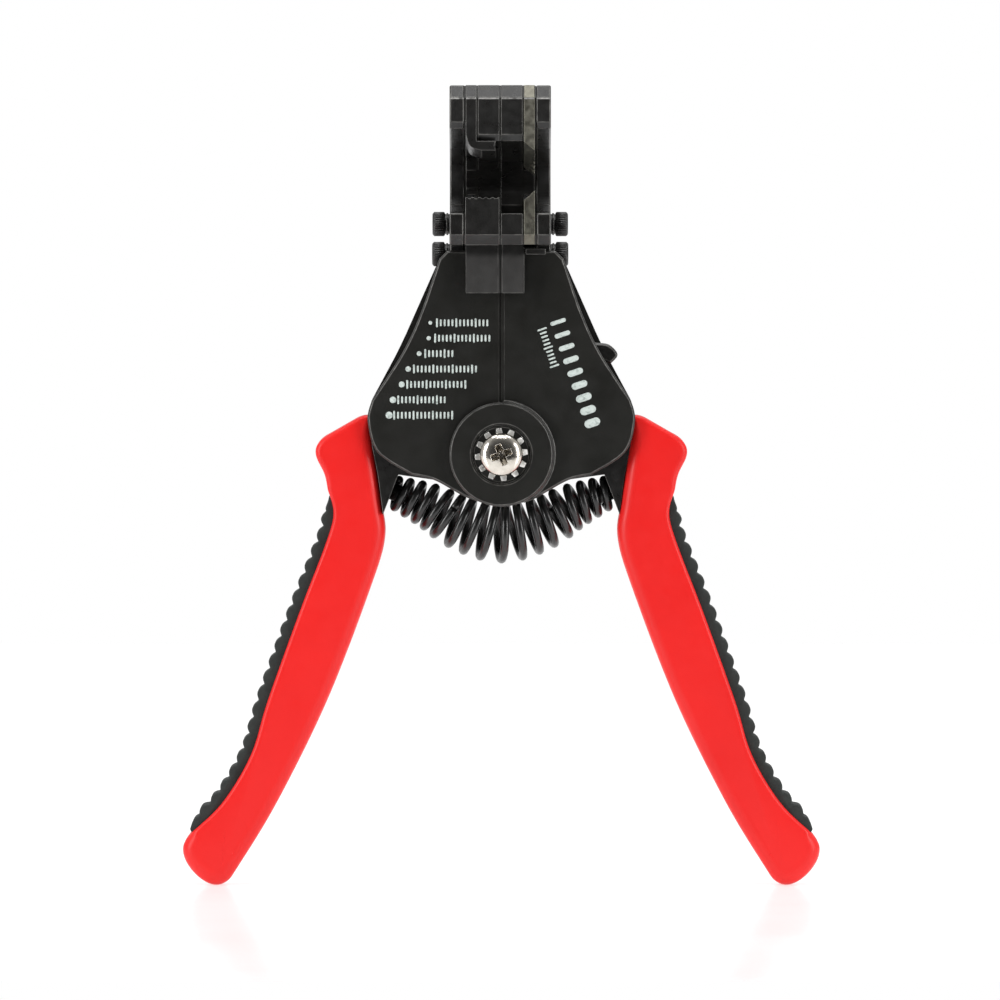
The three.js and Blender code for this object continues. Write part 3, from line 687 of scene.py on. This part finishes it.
# ---- screws ------------------------------------------------------------------------------------
def pivot_screw(material):
    """Pan head with a cross recess, made standing on +Z and then laid along -Y."""
    low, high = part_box("pivot_screw")
    head_radius = (high.x - low.x) / 2 / MM
    rise = 2.7
    rim = 0.5
    under = 0.2
    shank = 2.35
    dome = [(head_radius * math.sin(a), rim + (rise - rim) * math.cos(a))
            for a in [math.radians(d) for d in range(90, 0, -5)]]
    length = (high.y - low.y) / MM - rise
    profile = [(shank, -length), (shank, 0), (head_radius - under, 0), (head_radius, under)]
    screw = turned("pivot_screw_body", profile + dome + [(0.05, rise)], 96)
    arm = [(-2.5, -0.7), (2.5, -0.7), (2.5, 0.7), (-2.5, 0.7)]
    narrowing = ((0.3, 0.4), (1.0, 2.5), (1.2, 3.4))
    for turn in (20, 110):
        tool = loft("cross", [[Vector((x * scale, y * scale, z)) * MM for x, y in arm]
                              for scale, z in narrowing])
        tool.data.transform(Matrix.Rotation(math.radians(turn), 4, "Z"))
        cut_away(screw, tool)
    place_on = Matrix.Translation((pivot.x, low.y + rise * MM, pivot.z))
    screw.data.transform(place_on @ Matrix.Rotation(math.radians(90), 4, "X"))
    screw.data.shade_smooth()
    soften_edges(screw, 0.1, angle=28)
    place(screw, "right_frame", material, "pivot_screw", slot="zinc_steel")


def star_washer(material):
    """A flat ring whose twelve outer teeth are twisted out of its plane."""
    low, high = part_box("pivot_star_washer")
    teeth = 12
    steps = 8
    builder = bmesh.new()
    middle_y = (low.y + high.y) / 2
    outer = (high.x - low.x) / 2
    inner = 3 * MM
    root, valley = 0.79 * outer, 0.8 * outer
    half = 0.2 * MM
    twist_depth = 0.28 * MM

    def corner(radius, angle, y):
        return builder.verts.new((pivot.x + radius * math.cos(angle), y,
                                  pivot.z + radius * math.sin(angle)))

    rows = []
    for i in range(teeth * steps):
        angle = i * ROUND / (teeth * steps)
        phase = (i % steps) / steps
        on_tooth = phase < 0.5
        twist = (phase * 4 - 0.75) * twist_depth if on_tooth else 0
        reach = outer if on_tooth else valley
        places = [(inner, -half), (root, -half), (reach, -half - twist), (reach, half - twist),
                  (root, half), (inner, half)]
        rows.append([corner(radius, angle, middle_y + offset) for radius, offset in places])
    for row, following in zip(rows, rows[1:] + rows[:1]):
        for k in range(len(row)):
            j = (k + 1) % len(row)
            builder.faces.new((row[k], row[j], following[j], following[k]))
    washer = mesh_object("star_washer_ring", builder)
    soften_edges(washer, 0.08, angle=35)
    place(washer, "right_frame", material, "pivot_star_washer", slot="zinc_steel")


def cap_screw(name, side, material):
    """Socket head with a knurled rim, made standing on +Z and then laid along X."""
    low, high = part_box(name)
    radius = (high.z - low.z) / 2 / MM
    head = 2.8
    shank = 1.45
    collar = shank + 0.8
    shoulder = 1.1
    length = (high.x - low.x) / MM - head
    count = 144
    ridges, ridge_depth = 36, 0.14
    socket_radius, socket_depth = 1.25, 1.6

    def knurl(angle):
        return radius - ridge_depth * (1 + math.cos(ridges * angle)) / 2

    def socket(angle):
        within = angle % (ROUND / 6) - ROUND / 12
        return socket_radius * math.cos(ROUND / 12) / math.cos(within)

    def plain(size):
        return lambda _: size

    profile = [(plain(shank * 0.6), -length), (plain(shank), 0.5 - length),
               (plain(shank), -shoulder), (plain(collar), -shoulder), (plain(collar), 0),
               (plain(radius - 0.3), 0),
               (knurl, 0.25), (knurl, head - 0.45), (plain(radius - 0.35), head - 0.1),
               (plain(radius - 0.6), head), (socket, head), (socket, head - socket_depth)]
    piece = loft(f"{name}_body", [circle(count, radius_at, z) for radius_at, z in profile])
    centre = middle_of(name)
    head_base = high.x - head * MM if side == RIGHT else low.x + head * MM
    turn = Matrix.Rotation(math.radians(90 * side), 4, "Y")
    piece.data.transform(Matrix.Translation((head_base, centre.y, centre.z)) @ turn)
    soften_edges(piece, 0.05, segments=1, angle=50)
    place(piece, f"{'left' if side == LEFT else 'right'}_frame", material, name, slot="black_steel")


# ---- printed marks -----------------------------------------------------------------------------
def mark(builder, points):
    """Adds one flat printed shape, given by its corners in millimetres on the front plates."""
    front, back = [[builder.verts.new((x * MM, plate_front + offset * MM, z * MM))
                    for x, z in points] for offset in (-INK, INK)]
    builder.faces.new(front)
    builder.faces.new(back[::-1])
    for i in range(len(points)):
        j = (i + 1) % len(points)
        builder.faces.new((front[i], back[i], back[j], front[j]))


def dot(builder, x, z, radius):
    sides = 28
    angles = [k * ROUND / sides for k in range(sides)]
    mark(builder, [(x + radius * math.cos(a), z + radius * math.sin(a)) for a in angles])


def bar(builder, x, z, length, height, lean=0.0):
    """A bar with half-round ends; lean turns it about its middle, in radians."""
    half = height / 2
    steps = 8
    corners = []
    for end, start in ((1, -math.pi / 2), (-1, math.pi / 2)):
        for k in range(steps + 1):
            angle = start + k * math.pi / steps
            u = end * (length / 2 - half) + half * math.cos(angle)
            v = half * math.sin(angle)
            corners.append((x + u * math.cos(lean) - v * math.sin(lean),
                            z + u * math.sin(lean) + v * math.cos(lean)))
    mark(builder, corners)


def left_marks(material):
    """Seven rows for seven wire sizes: a dot as big as the wire and a graduated line of ticks."""
    builder = bmesh.new()
    rows = [(-16.2, -2.6), (-16.6, -2.4), (-18.8, -10.1), (-21.3, -5.0), (-22.8, -7.7),
            (-24.8, -11.9), (-25.7, -10.8)]
    top, row_pitch = 125.2, 3.42
    pitch = 0.86
    room_for_dot = 1.9
    thickness, short, long = 0.42, 1.55, 2.0
    for i, (start, end) in enumerate(rows):
        z = top - row_pitch * i
        size = 0.42 + 0.06 * i
        dot(builder, start + size, z, size)
        for k in range(int((end - start - room_for_dot) / pitch) + 1):
            bar(builder, start + room_for_dot + k * pitch, z, short if k % 5 else long, thickness,
                math.pi / 2)
    piece = mesh_object("wire_size_chart", builder)
    place(piece, "left_frame", material)


def right_marks(material):
    """A slanted ladder of bold bars down the right plate, with a fine scale beside its top."""
    builder = bmesh.new()
    top, bottom = Vector((12.6, 125.4)), Vector((20.2, 103.0))
    along = (bottom - top).normalized()
    sideways = Vector((-along.y, along.x))
    lean = math.atan2(sideways.y, sideways.x)
    count = 9
    length = 3.6
    for i in range(count):
        middle = top.lerp(bottom, i / (count - 1))
        bar(builder, middle.x, middle.y, length, 0.9 + 0.12 * i, lean)
    fine = 11
    aside, start, reach = 3.9, 0.4, 8.6
    thickness, short, long = 0.4, 1.6, 2.2
    for k in range(fine):
        middle = top - sideways * aside + along * (start + reach * k / (fine - 1))
        bar(builder, middle.x, middle.y, short if k % 5 else long, thickness, lean)
    piece = mesh_object("wire_size_ladder", builder)
    place(piece, "right_frame", material)


# ---- shims -------------------------------------------------------------------------------------
def shim(name, node, column, slit, body, material):
    """Thin sheet of a CAD piece's own outline, a little smaller, in the slit beside that piece.

    column is the part of the piece, from low to high X, that is squeezed into the slit.
    """
    low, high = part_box(node)
    centre = (low + high) / 2
    play = 0.004 * MM
    shrink_depth, shrink_height = 0.99, 0.993
    flat = (slit[1] - slit[0] - 2 * play) / (column[1] - column[0])
    target = Vector((slit[0] + play, centre.y, centre.z))
    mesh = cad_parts[node].data.copy()
    mesh.transform(Matrix.Translation(target)
                   @ Matrix.Diagonal((flat, shrink_depth, shrink_height, 1))
                   @ Matrix.Translation((-column[0], -centre.y, -centre.z)))
    mesh.shade_flat()
    piece = bpy.data.objects.new(name, mesh)
    bpy.context.scene.collection.objects.link(piece)
    place(piece, body, material)


def x_span(node):
    """The least and the greatest X of a CAD piece."""
    low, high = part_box(node)
    return low.x, high.x


def shims(material):
    """Dark sheets that keep light out of the slits between the columns of the head."""
    middle = x_span("left_jaw_block")[1], x_span("right_jaw_block")[0]
    slit = GAP * MM
    leaf = x_span("upper_blade")[0]
    block = {"right": (middle[1], leaf - slit), "left": (sum(middle) - leaf + slit, middle[0])}
    inner_slit = {}
    for name, side in SIDES.items():
        far = 1 if side == RIGHT else 0
        for level, body, arm, inner in (
                ("upper", f"{name}_upper_jaw", f"{name}_jaw_arm", f"{name}_jaw_block"),
                ("lower", f"{name}_frame", f"{name}_lower_cheek", f"{name}_lower_block")):
            outer_slit = sorted((x_span(inner)[far], x_span(arm)[1 - far]))
            shim(f"{name}_{level}_outer_shim", arm, x_span(arm), outer_slit, body, material)
        inner_slit[name] = sorted((block[name][far], block[name][far] + side * slit))
        shim(f"{name}_upper_inner_shim", f"{name}_jaw_block", block[name], inner_slit[name],
             f"{name}_upper_jaw", material)
    shim("right_lower_inner_shim", "right_lower_block", block["right"], inner_slit["right"],
         "right_frame", material)
    shim("upper_middle_shim", "left_jaw_block", block["left"], middle, "left_upper_jaw", material)
    shim("lower_middle_shim", "left_lower_block", x_span("left_lower_block"), middle, "left_frame",
         material)


def strip(name, low, high, body, material, turn=Matrix()):
    """Flat strip given by two opposite corners (mm), and then moved by turn."""
    middle = [(a + b) / 2 * MM for a, b in zip(low, high)]
    size = [(b - a) * MM for a, b in zip(low, high)]
    builder = bmesh.new()
    bmesh.ops.create_cube(builder, size=1,
                          matrix=turn @ Matrix.Translation(middle) @ Matrix.Diagonal((*size, 1)))
    piece = mesh_object(name, builder)
    piece.data.shade_flat()
    place(piece, body, material)


def rim_lines(material):
    """Thin lines just under each upper jaw piece's bevelled top edge: wear and painted highlight."""
    hinge = Vector((0, *HINGE)) * MM
    turn = (Matrix.Translation(hinge) @ Matrix.Rotation(math.radians(-JAWS_OPEN), 4, "X")
            @ Matrix.Translation(-hinge))
    bottom, top = 166.85, 167.2
    proud, sunk = 0.015, 0.05
    inset = 0.1
    block_reach = 4.95       # how far a block's front edge reaches from the seam
    leaf_width = 2.4         # of the gripper's front leaf
    spans = {node: [x / MM for x in x_span(node)]
             for node in ("left_jaw_arm", "left_jaw_block", "upper_gripper", "right_jaw_block",
                          "upper_blade", "right_jaw_arm")}
    spans["left_jaw_block"][0] = HEAD_MIDDLE - block_reach
    spans["right_jaw_block"][1] = HEAD_MIDDLE + block_reach
    spans["upper_gripper"][1] = spans["upper_gripper"][0] + leaf_width
    for node, (low, high) in spans.items():
        body = "left_upper_jaw" if node.startswith(("left", "upper_g")) else "right_upper_jaw"
        strip(f"{node}_rim_line", (low + inset, JAW_FRONT - proud, bottom),
              (high - inset, JAW_FRONT + sunk, top), body, material, turn)


def leg_strips(material):
    """Bring the inner edges of the two legs in front of the plates close together."""
    inner, outer = 0.16, 0.46
    front, back, bottom, top = -12.39, -9.81, 131.81, 142.9
    for name, side in SIDES.items():
        near, far = sorted((HEAD_MIDDLE + side * inner, HEAD_MIDDLE + side * outer))
        strip(f"{name}_leg_strip", (near, front, bottom), (far, back, top), f"{name}_frame",
              material)


def seam_strips(material):
    """Square off the plates' edges along the seam, and close the seam from behind."""
    bottom, top = 107.7, 142.9
    inner, outer = 0.09, 0.85
    backing_half, backing = 1, 0.16
    inset, overhang = 0.01, 0.06
    for label, facing in (("front", -1), ("rear", 1)):
        face, back = facing * (PLATE_FACE - inset), facing * (PLATE_BACK - overhang)
        low_y, high_y = sorted((face, back))
        behind = sorted((back, back - facing * backing))
        for name, side in SIDES.items():
            near, far = sorted((HEAD_MIDDLE + side * inner, HEAD_MIDDLE + side * outer))
            strip(f"{name}_{label}_seam", (near, low_y, bottom), (far, high_y, top),
                  f"{name}_frame", material)
        strip(f"{label}_seam_backing", (HEAD_MIDDLE - backing_half, behind[0], bottom),
              (HEAD_MIDDLE + backing_half, behind[1], top), "left_frame", material)


# ---- carried-over CAD nodes --------------------------------------------------------------------
def dress_cad(materials):
    """Gives each CAD node that still shows its material and softened edges."""
    looks = {
        "black_paint": ("front_plate", "rear_plate"),
        "ground_steel": ("lower_blade", "upper_blade"),
        "zinc_steel": ("pivot_sleeve", "pivot_rear_washer", "pivot_nut"),
        "block_steel": ("lower_block",),
    }
    chamfers = {"front_plate": PLATE_CHAMFER, "lower_cheek": JAW_CHAMFER, "jaw_arm": JAW_CHAMFER}
    for name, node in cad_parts.items():
        look = next((key for key, ends in looks.items() if name.endswith(ends)), "black_steel")
        node.data.materials.clear()
        node.data.materials.append(materials[look])
        # every black piece gets worn edges painted lighter as a highlight
        worn_highlight = materials["worn_edge_highlight"] if look.startswith("bl") else None
        slant = next((width for end, width in chamfers.items() if name.endswith(end)), 0)
        soften_edges(node, EDGE_ROUNDING, angle=18, worn_highlight=worn_highlight, slant=slant,
                     merge=0.03 if slant else 0.005, clamp=name.endswith("rear_plate"),
                     flatten=look != "block_steel")


# ---- stage -------------------------------------------------------------------------------------
def stage_floor():
    """A low-gloss white floor that ends before it reaches the camera."""
    builder = bmesh.new()
    bmesh.ops.create_grid(builder, x_segments=8, y_segments=8, size=1)
    floor = mesh_object("floor", builder)
    floor.data.transform(Matrix.Translation((0, 0.55, 0)) @ Matrix.Diagonal((1, 0.9, 1, 1)))
    paint = Paints("floor_white", 0.0, specular=0.5)
    paint.color(paint.ramp(paint.noise(0.3), [(0.3, grey(0.68)), (0.7, grey(0.70))]))
    paint.roughness(paint.noise(0.1), 0.12, 0.16)
    paint.shader.inputs["Emission Color"].default_value = (1, 1, 1, 1)
    paint.shader.inputs["Emission Strength"].default_value = 0.5
    floor.data.materials.append(paint.material)


def stage_world():
    """White as the camera sees it. The object is lit by a dimmer room, darkest behind the camera."""
    world = bpy.data.worlds.new("studio")
    bpy.context.scene.world = world
    world.use_nodes = True
    tree = world.node_tree
    background = tree.nodes["Background"]
    background.inputs["Color"].default_value = (1, 1, 1, 1)
    direction = tree.nodes.new("ShaderNodeTexCoord")
    split = tree.nodes.new("ShaderNodeSeparateXYZ")
    tree.links.new(direction.outputs["Generated"], split.inputs["Vector"])
    room = tree.nodes.new("ShaderNodeMapRange")
    room.interpolation_type = "SMOOTHSTEP"
    room.inputs["From Min"].default_value = -0.95
    room.inputs["From Max"].default_value = -0.1
    room.inputs["To Min"].default_value = 0.06
    room.inputs["To Max"].default_value = 0.6
    tree.links.new(split.outputs["Y"], room.inputs["Value"])
    path = tree.nodes.new("ShaderNodeLightPath")
    strength = tree.nodes.new("ShaderNodeMix")
    strength.inputs["B"].default_value = 1.0
    tree.links.new(path.outputs["Is Camera Ray"], strength.inputs["Factor"])
    tree.links.new(room.outputs["Result"], strength.inputs["A"])
    tree.links.new(strength.outputs["Result"], background.inputs["Strength"])


def softbox(name, place_at, aim, width, height, watts):
    """A flat lamp that faces aim; lengths are in metres."""
    light = bpy.data.lights.new(name, "AREA")
    light.shape = "RECTANGLE"
    light.size = width
    light.size_y = height
    light.energy = watts
    lamp = bpy.data.objects.new(name, light)
    lamp.location = place_at
    lamp.rotation_euler = (Vector(aim) - Vector(place_at)).to_track_quat("-Z", "Y").to_euler()
    bpy.context.scene.collection.objects.link(lamp)


def stage_lights():
    aim = (0, 0, 0.09)
    softbox("top_box", (0, 0, 0.9), aim, 0.9, 0.5, 5)
    softbox("key_strip", (0, -0.5, 1.05), aim, 0.5, 0.1, 1.5)
    softbox("left_strip", (-0.85, -0.5, 0.35), aim, 0.25, 0.7, 6)
    softbox("right_strip", (0.85, -0.5, 0.35), aim, 0.25, 0.7, 5.5)


def stage_camera():
    """Straight from the front, a little above level, framing the tool as a catalogue does."""
    distance = 3.0
    frame_width = 0.2228
    rise = math.radians(1.5)
    aim = Vector((-0.0003, 0, 0.0856))
    data = bpy.data.cameras.new("camera")
    data.angle = 2 * math.atan(frame_width / 2 / distance)
    data.clip_start = 0.01
    camera = bpy.data.objects.new("camera", data)
    camera.location = aim + distance * Vector((0, -math.cos(rise), math.sin(rise)))
    camera.rotation_euler = (aim - camera.location).to_track_quat("-Z", "Y").to_euler()
    bpy.context.scene.collection.objects.link(camera)
    bpy.context.scene.camera = camera


def build():
    materials = {
        "black_paint": black_paint(), "black_steel": black_steel(), "ground_steel": ground_steel(),
        "zinc_steel": zinc_steel(), "spring_steel": spring_steel(), "red_plastic": red_plastic(),
        "grey_rubber": grey_rubber(), "white_ink": white_ink(), "worn_edge_highlight": worn_edge_highlight(),
        "plated_steel": plated_steel(), "worn_rim_highlight": worn_rim_highlight(),
        "block_steel": block_steel(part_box("left_front_plate")[1].z - 1.0 * MM),
    }
    shims(materials["black_paint"])
    seam_strips(materials["black_paint"])
    leg_strips(materials["block_steel"])
    rim_lines(materials["worn_rim_highlight"])
    dress_cad(materials)
    for name, side in SIDES.items():
        grip(name, side, materials["red_plastic"])
        grip_inlay(name, side, materials["grey_rubber"])
        jaw_spring(name, materials["spring_steel"])
        spring_seat(name, side, materials["black_steel"])
        cap_screw(f"{name}_hinge_screw", side, materials["black_steel"])
        cap_screw(f"{name}_clamp_screw", side, materials["black_steel"])
    handle_spring(materials["spring_steel"])
    frame_spring(materials["spring_steel"])
    pivot_screw(materials["zinc_steel"])
    star_washer(materials["plated_steel"])
    left_marks(materials["white_ink"])
    right_marks(materials["white_ink"])
    stage_floor()
    stage_world()
    stage_lights()
    stage_camera()
    bpy.context.scene.view_settings.view_transform = "Standard"


build()
